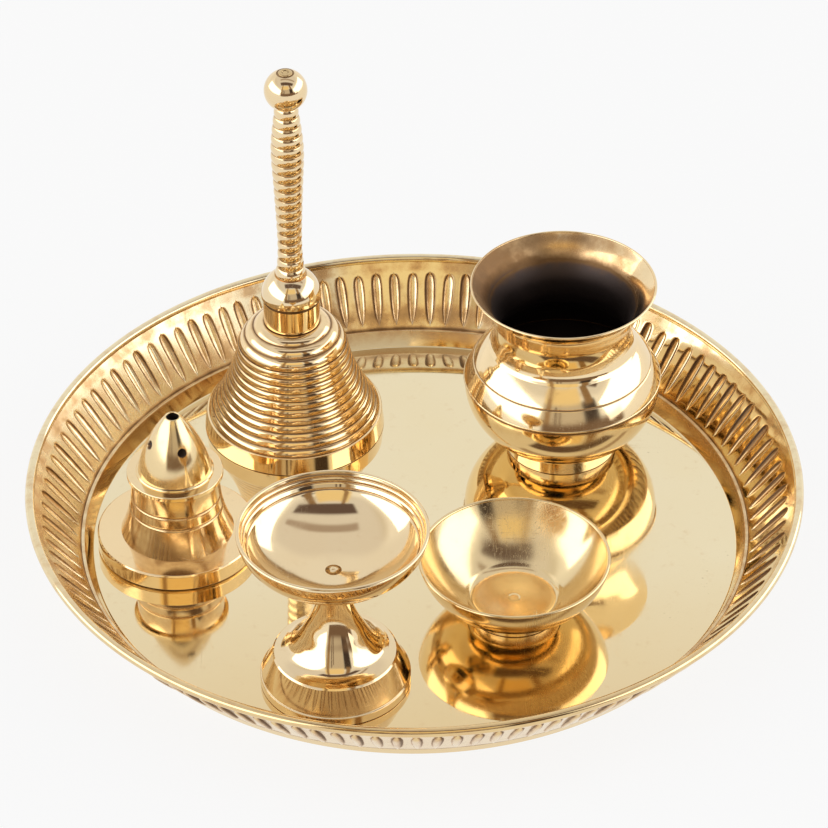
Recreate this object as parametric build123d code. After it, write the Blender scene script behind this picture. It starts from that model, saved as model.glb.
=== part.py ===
"""Brass puja thali: a fluted round tray with a hand bell, a kalash, a bowl, a diya and an incense stand.

Millimetres, +Z up. The origin is the centre of the tray's underside, and -Y is the tray's front.
Outlines are drawn as (radius, height). Heights on the tray are measured from its floor.
"""

import os
from math import asin, atan2, cos, pi, radians, sin, sqrt

from build123d import *

# Fits
SLIP = 0.05  # radial play of a rod, rivet or screw in its hole
LINK_PLAY = 0.45  # gap between hanging links where they bear on each other

# Tray: one spun sheet with a step, a leaning fluted wall and a rolled rim
TRAY_R = 125.0
TRAY_H = 26.3
SHEET = 1.2
FLOOR_R = 104.6
STEP_H = 4.9
STEP_OUT = 2.6
LEDGE = 0.9
RIM_BEAD = 1.5  # radius of the rolled rim
FLUTES = 120
FLUTE_W = 3.2
FLUTE_DEPTH = 0.9
FLUTE_GAP = 1.5  # from the wall's foot to the pointed end
FLUTE_LONG = 14.0  # pointed end to widest place
FLUTE_SHORT = 3.6  # widest place to the blunt end
FLUTE_END_W = 1.9  # width of the blunt end
BEAD_SIDES = 6  # flats round the rolled rim

# Bell cup
BELL_TURN = 122.66  # degrees round the tray, from its right-hand side
BELL_GAP = 0.48  # lip to the edge of the tray's floor
LIP_R = 30.0
LIP_BAND = 6.4  # height of the plain band
LIP_TAPER = 0.7
FLARE_R = 27.8  # foot of the ribbed flare
FLARE_Z = 8.0
FLARE_SAG = 1.5  # hollow of the flare's curve
SHOULDER_R = 18.2
SHOULDER_Z = 33.6
SHOULDER_BULGE = 1.5
BOSS_R = 9.3
BOSS_Z = 42.6
BOSS_TOP = 51.6
CUP_WALL = 2.0
CROWN_FLAT = 6.0  # radius of the level seat inside the crown
CROWN_WALL = 3.6  # metal left between that seat and the foot of the boss
LIP_THICK = 2.6
CUP_RIBS = 10
CUP_RIB_DEPTH = 0.5
SHOULDER_RINGS = 3
SHOULDER_RING_DEPTH = 0.45

# Bell handle, stacked on the boss
COLLAR_R = 9.9
COLLAR_H = 9.2
COLLAR_TOP_R = 5.4
COLLAR_ROUND = 0.8  # height of the round under the collar's widest place
COLLAR_BULGE = 1.2  # swell of the dome above it
GRIP_FLARE_R = 5.3
GRIP_FLARE_H = 4.8
GRIP_FOOT_R = 4.4
GRIP_H = 65.6
GRIP_WAIST_R = 4.1
GRIP_SWELL_R = 5.4
GRIP_TOP_R = 3.8
GRIP_WAIST_AT = 0.22  # share of the grip's height
GRIP_SWELL_AT = 0.76
GRIP_RIBS = 19
GRIP_RIB_DEPTH = 0.4
BALL_R = 7.0

# Rod through the handle, and the clapper hung from its eye
ROD_R = 1.6
PEEN_R = 2.3
PEEN_H = 0.5
PEEN_SEAT_R = 2.9  # flat on top of the ball
COLLET_R = 4.2  # shoulder that bears under the crown
COLLET_H = 1.4
EYE_DROP = 4.4  # shoulder to the middle of the eye
EYE_R = 3.2
EYE_HOLE_R = 1.7
EYE_T = 1.6
RING_R = 3.8  # to the middle of the wire
RING_WIRE = 0.8
STEM_R = 1.3
CLAPPER_R = 5.5
CLAPPER_Z = 8.2

# Kalash
KALASH_TURN = 45.69
KALASH_GAP = 2.35  # belly to the edge of the floor, seen from above
KALASH_WALL = 1.2
KFOOT_R = 18.3
KFOOT_H = 5.2
KFOOT_WALL = 1.6
KFOOT_TAPER = 0.4
KBASE_FLAT_R = 18.0
KBASE_BOW = 4.3  # roundness of the belly
KSEAM_R = 32.1
KSEAM_Z = 27.7
KSEAM_STEP = 0.3  # the upper half stands proud of the lower one
KSHOULDER_BOW = 0.9
KNECK_R = 22.3
KNECK_Z = 46.8
KNECK_FOOT_R = 23.5
KNECK_FOOT_Z = 41.4
KFLARE_R = 24.6
KFLARE_Z = 55.5
KMOUTH_R = 30.5
KMOUTH_Z = 64.6
KMOUTH_SAG = 0.7
KRIM_W = 1.3

# Bowl
BOWL_TURN = -49.6
BOWL_GAP = 25.65
BOWL_R = 30.5
BOWL_H = 21.5
BOWL_WALL = 1.3
BFOOT_R = 14.5
BFOOT_H = 4.3
BFOOT_WALL = 1.6
BFOOT_RECESS = 3.0
BOWL_FLOOR = 4.6  # inside floor above the foot's underside
BOWL_FULLNESS = 3.1  # how far the wall swells past a straight line
DIMPLE_R = 2.2
DIMPLE_DEPTH = 0.4

# Diya
DIYA_TURN = -109.68
DIYA_GAP = 6.86  # foot to the edge of the floor
DIYA_WALL = 1.4
DISH_R = 29.7
DISH_H = 17.7  # seat to rim
DISH_TURN_R = 21.5  # where the shallow bottom turns up into the side
DISH_TURN_H = 5.6
DISH_BOTTOM_BOW = 0.45
DISH_SIDE_BOW = 1.75
STEM_SEAT_R = 5.8
STEM_SEAT_Z = 41.6
STEM_WAIST_R = 5.1
STEM_WAIST_Z = 35.0
STEM_FLARE_R = 7.9
STEM_FLARE_Z = 23.6
STEM_FLARE_SAG = 0.7
SHELF_R = 19.3
SHELF_Z = 11.3
SHELF_IN_R = 14.8
SHELF_IN_Z = 12.8
DFOOT_R = 23.5
DFOOT_EDGE = 3.0
DFOOT_WALL = 1.6
NECK_BLOCK = 14.0  # solid length of stem above the hollow
ROOF_R = 4.0
RIVET_R = 1.3
RIVET_HEAD_R = 2.7
RIVET_HEAD_H = 1.0

# Incense stand
INCENSE_TURN = 181.12
INCENSE_GAP = 1.99
SAUCER_R = 25.9
SAUCER_H = 6.2
SAUCER_EDGE = 0.8
IBODY_FOOT_R = 18.2
IBODY_WAIST_R = 14.4
IBODY_SAG = 1.3
IBODY_H = 21.6
IRING_R = 15.5
IRING_H = 1.9
CONE_R = 12.7
CONE_H = 21.3
CONE_TIP_R = 2.6
CONE_EDGE = 0.8
CONE_BULGE = 1.3
TIP_HOLE_R = 2.0
TIP_HOLE_DEPTH = 13.0
SIDE_HOLES = 4
SIDE_HOLE_R = 1.4
SIDE_HOLE_DEPTH = 4.6
SIDE_HOLE_Z = 11.6  # above the foot of the cone
SIDE_HOLE_TILT = 24.0
SIDE_HOLE_TURN = -68.0
SCREW_R = 2.0
SCREW_HEAD_R = 3.6
SCREW_HEAD_H = 2.2
SCREW_SUNK = 0.6  # head below the saucer's underside
SCREW_GRIP = 6.0  # length of screw inside the cone


def turned(*edges):
    """Solid of revolution about Z from the edges of a closed outline."""
    outline = Curve() + list(edges)
    return revolve(Plane.XZ * make_face(outline.edges()), Axis.Z)


def bowed(start, end, bow):
    """Arc between two points that swells by bow to the right of the way along it."""
    start, end = Vector(*start), Vector(*end)
    along = (end - start).normalized()
    middle = (start + end) / 2 + Vector(along.Y, -along.X) * bow
    return ThreePointArc(start, middle, end)


def ribbed(path, count, depth):
    """Ridges along a path: crests on it, grooves sunk to the left of the way along it."""
    points = []
    for step in range(2 * count + 1):
        share = step / (2 * count)
        point = path @ share
        along = path % share
        sunk = depth if step % 2 == 0 else 0.0
        points.append(point + Vector(-along.Y, along.X) * sunk)
    return Polyline(*points)


def rod(radius, low, high):
    """Round bar on the Z axis between two heights."""
    return Pos(0, 0, low) * Cylinder(radius, high - low, align=(Align.CENTER, Align.CENTER, Align.MIN))


def eye(radius, hole, thickness, height):
    """Flat round eye in the YZ plane, with its hole along X."""
    disc = Cylinder(radius, thickness) - Cylinder(hole, thickness)
    return Pos(0, 0, height) * Rot(0, 90, 0) * disc


def mitred(points, gap):
    """Points set off to the left of an open line by gap, with mitred corners."""
    ways = [(b - a).normalized() for a, b in zip(points, points[1:])]
    lefts = [Vector(-way.Y, way.X) for way in ways]
    moved = []
    for point, before, after in zip(points, lefts[:1] + lefts, lefts + lefts[-1:]):
        moved.append(point + (before + after) * (gap / (1 + before.dot(after))))
    return moved


def thali_plate():
    """The sheet follows a middle line; its wall is a ring of flat panels, one to a flute."""
    bead = Vector(TRAY_R - RIM_BEAD, TRAY_H - RIM_BEAD)
    middle = [
        Vector(0, SHEET / 2),
        Vector(FLOOR_R, SHEET / 2),
        Vector(FLOOR_R + STEP_OUT, SHEET / 2 + STEP_H),
        Vector(FLOOR_R + STEP_OUT + LEDGE, SHEET / 2 + STEP_H),
        bead,
    ]
    up = (middle[4] - middle[3]).normalized()
    out = Vector(up.Y, -up.X)
    enter = up * (RIM_BEAD * cos(asin(SHEET / 2 / RIM_BEAD)))
    inner = mitred(middle, SHEET / 2)
    outer = mitred(middle, -SHEET / 2)
    inner[4] -= enter
    outer[4] -= enter

    half = pi / FLUTES

    def corner(point, side):
        return Vector(point.X * cos(half), side * point.X * sin(half), point.Y)

    def strip(low, high):
        return [Face(Wire.make_polygon([corner(low, -1), corner(low, 1), corner(high, 1), corner(high, -1)]))]

    def panel(low, high):
        """Trapezium of wall with its pressed flute, a long pyramid that points down."""
        way = (high - low).normalized()

        def spot(along, across, depth=0.0):
            point = low + way * along + out * depth
            return Vector(point.X * cos(half), across, point.Y)

        widest = FLUTE_GAP + FLUTE_LONG
        end = widest + FLUTE_SHORT
        mark = [
            spot(FLUTE_GAP, 0),
            spot(widest, FLUTE_W / 2),
            spot(end, FLUTE_END_W / 2),
            spot(end, -FLUTE_END_W / 2),
            spot(widest, -FLUTE_W / 2),
        ]
        frame = Wire.make_polygon([corner(low, -1), corner(low, 1), corner(high, 1), corner(high, -1)])
        deepest = spot(widest, 0, FLUTE_DEPTH)
        sides = [Face(Wire.make_polygon([a, b, deepest])) for a, b in zip(mark, mark[1:] + mark[:1])]
        return [Face(frame, [Wire.make_polygon(mark)])] + sides

    start = atan2(inner[4].Y - bead.Y, inner[4].X - bead.X)
    stop = atan2(outer[4].Y - bead.Y, outer[4].X - bead.X) - 2 * pi
    roll = []
    for i in range(BEAD_SIDES + 1):
        angle = start + (stop - start) * i / BEAD_SIDES
        roll.append(bead + Vector(cos(angle), sin(angle)) * RIM_BEAD)

    sector = strip(inner[1], inner[2]) + strip(inner[2], inner[3]) + panel(inner[3], inner[4])
    sector += strip(outer[1], outer[2]) + strip(outer[2], outer[3]) + panel(outer[3], outer[4])
    for low, high in zip(roll, roll[1:]):
        sector += strip(low, high)
    turns = [Rot(0, 0, 360 * i / FLUTES) for i in range(FLUTES)]
    faces = [turn * face for turn in turns for face in sector]
    for edge in (inner[1], outer[1]):
        faces.append(Face(Wire.make_polygon([(turn * Vertex(*corner(edge, -1))).center() for turn in turns])))
    return Solid(Shell(faces))


CROWN_Z = BOSS_Z - CROWN_WALL
GRIP_Z = BOSS_TOP + COLLAR_H
BALL_Z = GRIP_Z + GRIP_H + sqrt(BALL_R**2 - GRIP_TOP_R**2)
PEEN_Z = BALL_Z + sqrt(BALL_R**2 - PEEN_SEAT_R**2)
EYE_Z = CROWN_Z - COLLET_H - EYE_DROP
HANG = EYE_HOLE_R - RING_WIRE - LINK_PLAY  # a link's drop from the middle of the hole it hangs in
RING_Z = EYE_Z - HANG - RING_R
LOOP_Z = RING_Z - RING_R - HANG


def bell_cup():
    """Flared cup with a plain lip band, a ribbed side, a ringed shoulder and a boss for the handle."""
    flare = bowed((FLARE_R, FLARE_Z), (SHOULDER_R, SHOULDER_Z), -FLARE_SAG)
    shoulder = bowed((SHOULDER_R, SHOULDER_Z), (BOSS_R, BOSS_Z), SHOULDER_BULGE)
    side = ribbed(flare, CUP_RIBS, CUP_RIB_DEPTH)
    rings = ribbed(shoulder, SHOULDER_RINGS, SHOULDER_RING_DEPTH)
    lip = Polyline((LIP_R - LIP_THICK, 0), (LIP_R, 0), (LIP_R - LIP_TAPER, LIP_BAND), side @ 0)
    bore = ROD_R + SLIP
    crown = Polyline(rings @ 1, (BOSS_R, BOSS_Z), (BOSS_R, BOSS_TOP), (bore, BOSS_TOP), (bore, CROWN_Z))
    inner_top = (SHOULDER_R - CUP_WALL, SHOULDER_Z)
    inner_low = (FLARE_R - CUP_WALL, FLARE_Z)
    roof = Polyline((bore, CROWN_Z), (CROWN_FLAT, CROWN_Z), inner_top)
    inner = bowed(inner_top, inner_low, FLARE_SAG)
    return turned(lip, side, Line(side @ 1, rings @ 0), rings, crown, roof, inner, Line(inner_low, lip @ 0))


def bell_handle():
    """Domed collar, ribbed grip with a flared foot, a waist and a swell, and a ball, all bored for the rod."""
    bore = ROD_R + SLIP
    widest = (COLLAR_R, BOSS_TOP + COLLAR_ROUND)
    edge = bowed((BOSS_R, BOSS_TOP), widest, (COLLAR_R - BOSS_R) / 4)
    dome = bowed(widest, (COLLAR_TOP_R, GRIP_Z), COLLAR_BULGE)
    line = Spline(
        (GRIP_FLARE_R, GRIP_Z),
        (GRIP_FOOT_R, GRIP_Z + GRIP_FLARE_H),
        (GRIP_WAIST_R, GRIP_Z + GRIP_WAIST_AT * GRIP_H),
        (GRIP_SWELL_R, GRIP_Z + GRIP_SWELL_AT * GRIP_H),
        (GRIP_TOP_R, GRIP_Z + GRIP_H),
    )
    grip = ribbed(line, GRIP_RIBS, GRIP_RIB_DEPTH)
    start = (GRIP_TOP_R, GRIP_Z + GRIP_H)
    ball = ThreePointArc(start, (BALL_R, BALL_Z), (PEEN_SEAT_R, PEEN_Z))
    top = Polyline((PEEN_SEAT_R, PEEN_Z), (bore, PEEN_Z), (bore, BOSS_TOP), (BOSS_R, BOSS_TOP))
    return turned(edge, dome, Line(dome @ 1, grip @ 0), grip, Line(grip @ 1, start), ball, top)


def bell_rod():
    """Rod from a peened head on the ball down to a shoulder and a flat eye inside the cup."""
    shank = rod(ROD_R, CROWN_Z - COLLET_H, PEEN_Z)
    head = rod(PEEN_R, PEEN_Z, PEEN_Z + PEEN_H)
    collet = rod(COLLET_R, CROWN_Z - COLLET_H, CROWN_Z)
    neck_h = CROWN_Z - COLLET_H - EYE_Z - EYE_HOLE_R
    neck = Pos(0, 0, EYE_Z + EYE_HOLE_R + neck_h / 2) * Box(EYE_T, 2 * EYE_HOLE_R, neck_h)
    hole = Pos(0, 0, EYE_Z) * Rot(0, 90, 0) * Cylinder(EYE_HOLE_R, EYE_T)
    return shank + head + collet + (eye(EYE_R, EYE_HOLE_R, EYE_T, EYE_Z) + neck - hole)


def clapper_ring():
    return Pos(0, 0, RING_Z) * Rot(90, 0, 0) * Torus(RING_R, RING_WIRE)


def clapper():
    """Flat eye, stem and round striker."""
    stem = rod(STEM_R, CLAPPER_Z, LOOP_Z - EYE_HOLE_R)
    hole = Pos(0, 0, LOOP_Z) * Rot(0, 90, 0) * Cylinder(EYE_HOLE_R, 2 * EYE_R)
    return eye(EYE_R, EYE_HOLE_R, EYE_T, LOOP_Z) + (stem - hole) + Pos(0, 0, CLAPPER_Z) * Sphere(CLAPPER_R)


def kalash_foot():
    inner = KFOOT_R - KFOOT_WALL
    return turned(Polyline((inner, 0), (KFOOT_R, 0), (KFOOT_R - KFOOT_TAPER, KFOOT_H), (inner, KFOOT_H), (inner, 0)))


def kalash_base():
    """Lower half: a flat bottom and a round belly up to the seam."""
    wall = KALASH_WALL
    flat = (KBASE_FLAT_R, KFOOT_H)
    seam = (KSEAM_R, KSEAM_Z)
    inner_flat = (KBASE_FLAT_R, KFOOT_H + wall)
    inner_seam = (KSEAM_R - wall, KSEAM_Z)
    return turned(
        Polyline(inner_flat, (0, KFOOT_H + wall), (0, KFOOT_H), flat),
        bowed(flat, seam, KBASE_BOW),
        Line(seam, inner_seam),
        bowed(inner_seam, inner_flat, wall / 4 - KBASE_BOW),
    )


def kalash_neck():
    """Upper half: a shoulder drawn in to the throat and flared out to the mouth."""
    wall = KALASH_WALL
    out = KSEAM_R + KSEAM_STEP
    throat = (KNECK_FOOT_R, KNECK_FOOT_Z)
    flare = (KFLARE_R, KFLARE_Z)
    mouth = (KMOUTH_R, KMOUTH_Z)
    inner_mouth = (KMOUTH_R - KRIM_W, KMOUTH_Z)
    inner_flare = (KFLARE_R - wall, KFLARE_Z)
    inner_throat = (KNECK_FOOT_R - wall, KNECK_FOOT_Z)
    return turned(
        bowed((out, KSEAM_Z), throat, KSHOULDER_BOW),
        ThreePointArc(throat, (KNECK_R, KNECK_Z), flare),
        bowed(flare, mouth, -KMOUTH_SAG),
        Line(mouth, inner_mouth),
        bowed(inner_mouth, inner_flare, KMOUTH_SAG),
        ThreePointArc(inner_flare, (KNECK_R - wall, KNECK_Z), inner_throat),
        bowed(inner_throat, (out - wall, KSEAM_Z), -KSHOULDER_BOW),
        Line((out - wall, KSEAM_Z), (out, KSEAM_Z)),
    )


def bowl():
    """Round bowl on a turned foot, with a small dimple in the middle of its floor."""
    wall_foot = (BFOOT_R + BOWL_WALL / 2, BFOOT_H)
    floor_r = BFOOT_R - BOWL_WALL
    inner = BFOOT_R - BFOOT_WALL
    rim = (BOWL_R, BOWL_H)
    inner_rim = (BOWL_R - BOWL_WALL, BOWL_H)
    return turned(
        Polyline((inner, 0), (BFOOT_R, 0), (BFOOT_R, BFOOT_H), wall_foot),
        bowed(wall_foot, rim, BOWL_FULLNESS),
        Line(rim, inner_rim),
        bowed(inner_rim, (floor_r, BOWL_FLOOR), -BOWL_FULLNESS),
        Polyline((floor_r, BOWL_FLOOR), (DIMPLE_R, BOWL_FLOOR), (0, BOWL_FLOOR - DIMPLE_DEPTH)),
        Polyline((0, BOWL_FLOOR - DIMPLE_DEPTH), (0, BFOOT_RECESS), (inner, BFOOT_RECESS), (inner, 0)),
    )


def diya_dish():
    """Shallow round dish with a hole for the rivet in the middle of its flat seat."""
    low = STEM_SEAT_Z
    hole = RIVET_R + SLIP
    seat = (STEM_SEAT_R, low)
    turn = (DISH_TURN_R, low + DISH_TURN_H)
    rim = (DISH_R, low + DISH_H)
    inner_rim = (DISH_R - DIYA_WALL, low + DISH_H)
    inner_turn = (DISH_TURN_R - DIYA_WALL / 2, low + DISH_TURN_H + DIYA_WALL)
    inner_seat = (STEM_SEAT_R, low + DIYA_WALL)
    return turned(
        Polyline(inner_seat, (hole, low + DIYA_WALL), (hole, low), seat),
        bowed(seat, turn, DISH_BOTTOM_BOW),
        bowed(turn, rim, DISH_SIDE_BOW),
        Line(rim, inner_rim),
        bowed(inner_rim, inner_turn, -DISH_SIDE_BOW),
        bowed(inner_turn, inner_seat, -DISH_BOTTOM_BOW),
    )


def diya_foot():
    """Spreading foot, hollow underneath, drawn up into a slender stem."""
    hole = RIVET_R + SLIP
    roof = STEM_SEAT_Z - NECK_BLOCK
    shelf = (SHELF_IN_R, SHELF_IN_Z)
    flare = (STEM_FLARE_R, STEM_FLARE_Z)
    seat = (STEM_SEAT_R, STEM_SEAT_Z)
    wall = DFOOT_WALL
    return turned(
        Polyline((DFOOT_R - wall, 0), (DFOOT_R, 0), (DFOOT_R, DFOOT_EDGE), (SHELF_R, SHELF_Z), shelf),
        bowed(shelf, flare, -STEM_FLARE_SAG),
        ThreePointArc(flare, (STEM_WAIST_R, STEM_WAIST_Z), seat),
        Polyline(seat, (hole, STEM_SEAT_Z), (hole, roof), (ROOF_R, roof), (SHELF_IN_R - wall, SHELF_IN_Z - wall)),
        Polyline(
            (SHELF_IN_R - wall, SHELF_IN_Z - wall),
            (SHELF_R - wall, SHELF_Z - wall),
            (DFOOT_R - wall, 0),
        ),
    )


def diya_rivet():
    """Rivet that holds the dish on its stem, with a head in the dish and one under the stem."""
    low = STEM_SEAT_Z - NECK_BLOCK
    high = STEM_SEAT_Z + DIYA_WALL
    heads = rod(RIVET_HEAD_R, high, high + RIVET_HEAD_H) + rod(RIVET_HEAD_R, low - RIVET_HEAD_H, low)
    return rod(RIVET_R, low, high) + heads


def incense_saucer():
    hole = SCREW_R + SLIP
    sunk = SCREW_HEAD_R + SLIP
    depth = SCREW_SUNK + SCREW_HEAD_H
    side = SAUCER_R - SAUCER_EDGE
    return turned(
        Polyline((sunk, 0), (side, 0), (SAUCER_R, SAUCER_EDGE), (SAUCER_R, SAUCER_H - SAUCER_EDGE)),
        Polyline((SAUCER_R, SAUCER_H - SAUCER_EDGE), (side, SAUCER_H), (hole, SAUCER_H)),
        Polyline((hole, SAUCER_H), (hole, depth), (sunk, depth), (sunk, 0)),
    )


def incense_body():
    """Waisted pillar with a ring round its top."""
    hole = SCREW_R + SLIP
    low = SAUCER_H
    high = low + IBODY_H
    side = bowed((IBODY_FOOT_R, low), (IBODY_WAIST_R, high), -IBODY_SAG)
    ring = Polyline(side @ 1, (IRING_R, high), (IRING_R, high + IRING_H), (hole, high + IRING_H))
    return turned(side, ring, Polyline(ring @ 1, (hole, low), side @ 0))


def incense_cone():
    """Pointed top with one upright stick hole and a ring of smaller holes square to its side."""
    low = SAUCER_H + IBODY_H + IRING_H
    high = low + CONE_H
    hole = SCREW_R + SLIP
    edge = (CONE_R - CONE_EDGE, low + CONE_EDGE)
    side = bowed(edge, (CONE_TIP_R, high), CONE_BULGE)
    blank = turned(
        Polyline((0, low + SCREW_GRIP), (hole, low + SCREW_GRIP), (hole, low), (CONE_R, low), edge),
        side,
        Polyline((CONE_TIP_R, high), (TIP_HOLE_R, high), (TIP_HOLE_R, high - TIP_HOLE_DEPTH)),
        Polyline((TIP_HOLE_R, high - TIP_HOLE_DEPTH), (0, high - TIP_HOLE_DEPTH), (0, low + SCREW_GRIP)),
    )
    where = side @ ((SIDE_HOLE_Z - CONE_EDGE) / (CONE_H - CONE_EDGE))
    drill = Pos(where.X, 0, where.Y) * Rot(0, 90 - SIDE_HOLE_TILT, 0) * Cylinder(SIDE_HOLE_R, 2 * SIDE_HOLE_DEPTH)
    for i in range(SIDE_HOLES):
        blank -= Rot(0, 0, SIDE_HOLE_TURN + 360 * i / SIDE_HOLES) * drill
    return blank


def incense_screw():
    head_top = SCREW_SUNK + SCREW_HEAD_H
    end = SAUCER_H + IBODY_H + IRING_H + SCREW_GRIP
    return rod(SCREW_HEAD_R, SCREW_SUNK, head_top) + rod(SCREW_R, head_top, end - SCREW_SUNK)


def stood(turn, reach, gap, *makers):
    """Named pieces of one item, stood on the tray's floor so that its reach clears the floor's edge by gap."""
    away = FLOOR_R - reach - gap
    where = Pos(away * cos(radians(turn)), away * sin(radians(turn)), SHEET)
    return {maker.__name__: where * maker() for maker in makers}


NODES = {
    "thali_plate": thali_plate(),
    **stood(BELL_TURN, LIP_R, BELL_GAP, bell_cup, bell_handle, bell_rod, clapper_ring, clapper),
    **stood(KALASH_TURN, KSEAM_R, KALASH_GAP, kalash_foot, kalash_base, kalash_neck),
    **stood(BOWL_TURN, BOWL_R, BOWL_GAP, bowl),
    **stood(DIYA_TURN, DFOOT_R, DIYA_GAP, diya_dish, diya_foot, diya_rivet),
    **stood(INCENSE_TURN, SAUCER_R, INCENSE_GAP, incense_saucer, incense_body, incense_cone, incense_screw),
}

os.makedirs("parts", exist_ok=True)
for name, solid in NODES.items():
    export_step(solid, f"parts/{name}.step")
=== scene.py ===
# %% [markdown]
# # A brass puja thali
# A fluted tray carries a hand bell, a water pot (kalash), a bowl, a stemmed lamp (diya) and an incense
# stand. All of it is brass: the tray is spun from sheet, and the rest is turned from castings.
# The construction comes in first, as a fixed frame. Everything after it is about looks: finer meshes
# that stand exactly where the solids stand, and finishes that behave like polished brass.

# %% Load the construction
import math

import bpy
import numpy as np
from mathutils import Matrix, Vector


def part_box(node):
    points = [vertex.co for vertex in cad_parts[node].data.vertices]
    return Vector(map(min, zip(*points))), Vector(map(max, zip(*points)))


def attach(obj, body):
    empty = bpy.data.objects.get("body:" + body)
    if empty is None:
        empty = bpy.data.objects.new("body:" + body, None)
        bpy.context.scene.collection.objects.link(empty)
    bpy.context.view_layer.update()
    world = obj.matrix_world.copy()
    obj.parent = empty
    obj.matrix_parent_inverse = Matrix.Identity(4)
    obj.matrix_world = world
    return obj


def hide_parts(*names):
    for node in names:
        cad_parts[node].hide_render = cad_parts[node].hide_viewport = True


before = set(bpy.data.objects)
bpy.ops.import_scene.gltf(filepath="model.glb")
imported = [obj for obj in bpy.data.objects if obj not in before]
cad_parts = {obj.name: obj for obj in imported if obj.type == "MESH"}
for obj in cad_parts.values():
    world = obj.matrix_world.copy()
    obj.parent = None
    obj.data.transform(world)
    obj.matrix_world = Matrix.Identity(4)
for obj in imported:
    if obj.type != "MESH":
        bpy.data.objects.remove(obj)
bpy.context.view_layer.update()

# %% [markdown]
# ## How turned brass is drawn
# A lathe makes every piece here, so each one is an outline swept round an axis. A Screw modifier could
# do that, but polished metal shows every error in its normals. So the outline is made of runs, each run
# knows its own direction, and the mesh gets exact normals from it. Corners between runs stay crisp, and
# arcs that meet a line at a tangent stay smooth. Sizes are in millimetres: radius, then height.
# Each point also carries a patina, from 0 (polished) over 1 (dark) to 2 (black), which the finish reads.
# Besides tarnish it holds painted shade, in grooves, creases, holes and inside the pot.

# %% Runs of an outline
MM = 0.001


def run(points, patina_and_shade=0.0):
    """Points of a run, with their patina as a third column."""
    points = np.array(points, float)
    return np.column_stack([points, np.broadcast_to(patina_and_shade, len(points))])


def line(a, b, patina_and_shade=0.0):
    return run([a, b], patina_and_shade)


def bow(a, b, sag, steps=24, patina_and_shade=0.0):
    """Arc from a to b that swells by sag to the right of the way along it."""
    a = np.array(a, float)
    b = np.array(b, float)
    half = np.hypot(*(b - a)) / 2
    along = (b - a) / (2 * half)
    right = np.array([along[1], -along[0]])
    radius = (half**2 + sag**2) / (2 * sag)
    turn = np.linspace(-1, 1, steps + 1) * 2 * math.atan(sag / half)
    out = sag - radius + radius * np.cos(turn)
    return run((a + b) / 2 + np.outer(radius * np.sin(turn), along) + np.outer(out, right), patina_and_shade)


print("a bowed run:", len(bow((0, 0), (10, 0), 1.0)), "points")

# %% [markdown]
# A real edge is never quite sharp, and on polished metal the thin bright line along it gives it away.
# A Bevel modifier would round every edge alike. Rounding the corners of the outline instead lets each
# piece have its own radius, and keeps the exact normals.


# %% Softened corners
def softened(points, radius, patina_and_shade=0.0):
    """Straight runs through the points, with every corner between them rounded."""
    p = np.array(points, float)
    runs = []
    start = p[0]
    for before, here, after in zip(p, p[1:], p[2:]):
        into = here - before
        out = after - here
        reach = 0.45 * min(np.hypot(*into), np.hypot(*out))
        into = into / np.hypot(*into)
        out = out / np.hypot(*out)
        turn = math.atan2(into[0] * out[1] - into[1] * out[0], into @ out)
        cut = min(radius * math.tan(abs(turn) / 2), reach)
        a = here - into * cut
        b = here + out * cut
        sag = cut * math.cos(turn / 2) * math.tan(turn / 4)
        runs += [line(start, a, patina_and_shade), bow(a, b, sag, 8, patina_and_shade)]
        start = b
    return runs + [line(start, p[-1], patina_and_shade)]


print("two softened corners:", len(softened([(0, 0), (5, 0), (5, 5), (0, 5)], 0.5)), "runs")

# %% [markdown]
# ## From outline to mesh
# The sweep below puts one ring of vertices at each point of a run and stitches neighbouring rings with
# quads. It works on whole arrays, which is far quicker than adding vertices one at a time.

# %% Sweep round the axis
AXIS_R = 0.002  # a ring on the axis keeps this radius, so that its quads stay whole
SEGMENTS, FINE, SLIM, TINY = 192, 256, 96, 64  # steps round the axis of usual, wide, slim and tiny pieces


def hoops(radius, height, angles):
    """One ring of vectors for each radius and height."""
    x = np.outer(radius, np.cos(angles))
    y = np.outer(radius, np.sin(angles))
    z = np.outer(height, np.ones(len(angles)))
    return np.stack([x, y, z], -1).reshape(-1, 3)


def stitched(rows, columns):
    """Quads between neighbouring rings."""
    low = np.arange(rows - 1)[:, None] * columns
    here = low + np.arange(columns)
    aside = low + np.roll(np.arange(columns), -1)
    return np.stack([here, aside, aside + columns, here + columns], -1).reshape(-1, 4)


def turned(runs, segments=SEGMENTS):
    """Vertices, normals, patina and quads of an outline swept round Z."""
    angles = np.arange(segments) * (2 * math.pi / segments)
    swept = []
    base = 0
    for points in runs:
        way = np.gradient(points[:, :2], axis=0, edge_order=2 if len(points) > 2 else 1)
        way /= np.hypot(*way.T)[:, None]
        verts = hoops(np.maximum(points[:, 0], AXIS_R), points[:, 1], angles)
        normals = hoops(way[:, 1], -way[:, 0], angles)
        patina_and_shade = np.repeat(points[:, 2], segments)
        swept.append([verts, normals, patina_and_shade, base + stitched(len(points), segments)])
        base += len(verts)
    return [np.concatenate(part) for part in zip(*swept)]


print("a short tube:", len(turned([line((5, 0), (5, 9))])[3]), "quads")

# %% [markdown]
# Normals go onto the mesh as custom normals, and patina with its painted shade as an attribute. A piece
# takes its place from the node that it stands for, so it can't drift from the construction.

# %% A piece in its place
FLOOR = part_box("bowl")[0].z


def note(mesh, name, values):
    """One value for each vertex, which a finish reads by its name."""
    mesh.attributes.new(name, "FLOAT", "POINT").data.foreach_set("value", values.astype(np.float32))


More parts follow.
